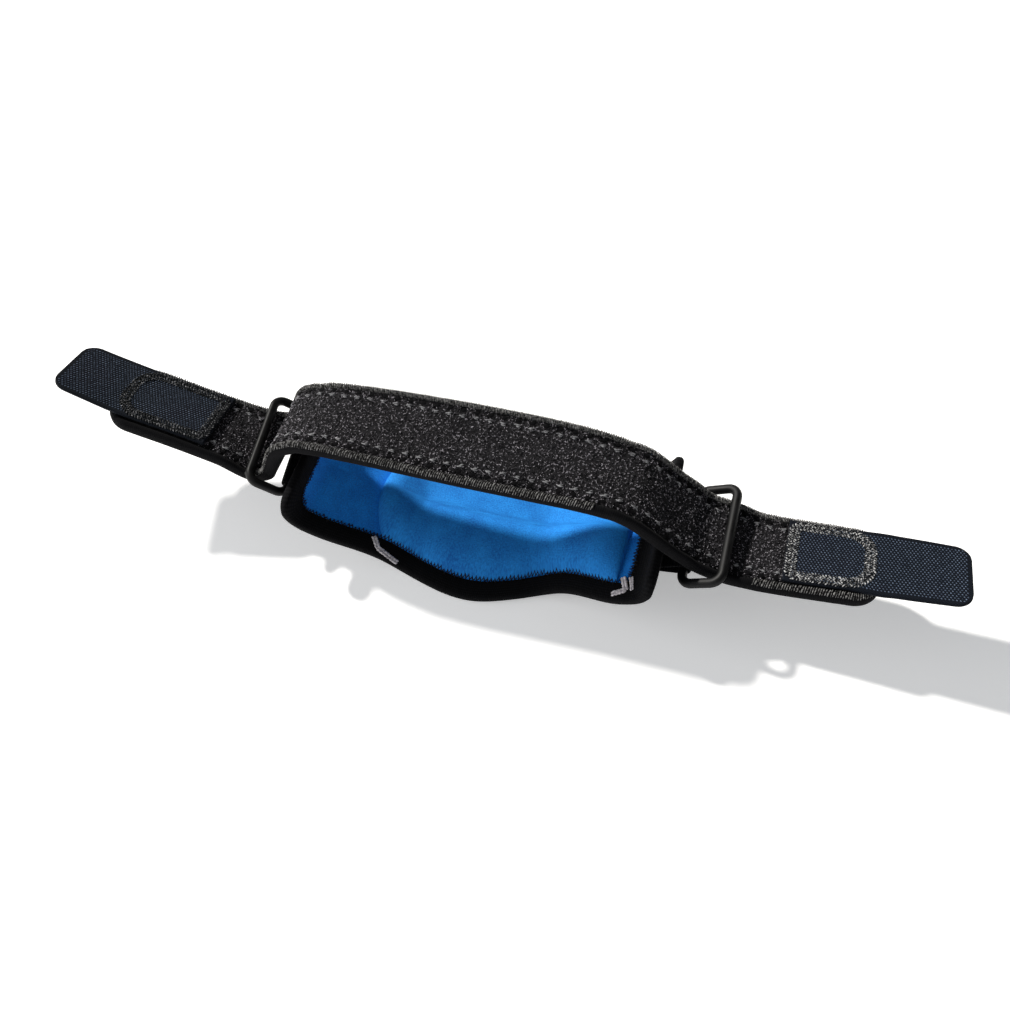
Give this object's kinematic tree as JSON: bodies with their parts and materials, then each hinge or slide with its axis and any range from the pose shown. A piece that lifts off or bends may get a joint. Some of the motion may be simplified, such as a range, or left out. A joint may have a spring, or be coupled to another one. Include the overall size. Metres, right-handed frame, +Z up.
{
  "type": "tennis elbow strap",
  "caption": "Padded forearm band: curved bound pad with a raised pressure pocket, plastic rings at its ends and a closing strap with hook tabs threaded through them.",
  "frame": {"origin": "middle of the pad's flat bed, on the outer face that it rests on", "axes": "+X along the strap towards the right ring, +Y along the forearm away from the camera, +Z up from the pad to the strap over the arm"},
  "size_m": [0.419, 0.086, 0.0713],
  "materials": {
    "shell_cloth": "matt knit over foam rubber",
    "lining_cloth": "matt brushed knit",
    "binding_tape": "matt folded tape",
    "pocket_cloth": "matt brushed knit",
    "ring_plastic": "moulded, slightly glossy",
    "keeper_webbing": "flat webbing",
    "strap_cloth": "matt knit over foam rubber",
    "loop_pile": "short looped pile",
    "strap_edge": "overlocked thread",
    "hook_tape": "woven hook tape"
  },
  "bodies": {
    "root": {"pad_shell": "shell_cloth", "pad_lining": "lining_cloth", "pad_binding": "binding_tape", "pressure_pad": "pocket_cloth", "ring_left": "ring_plastic", "ring_right": "ring_plastic", "ring_keeper_left": "keeper_webbing", "ring_keeper_right": "keeper_webbing", "strap_band": "strap_cloth", "strap_pile": "loop_pile", "strap_binding_near": "strap_edge", "strap_binding_far": "strap_edge", "hook_tab_left": "hook_tape", "hook_tab_right": "hook_tape"}
  },
  "joints": []
}
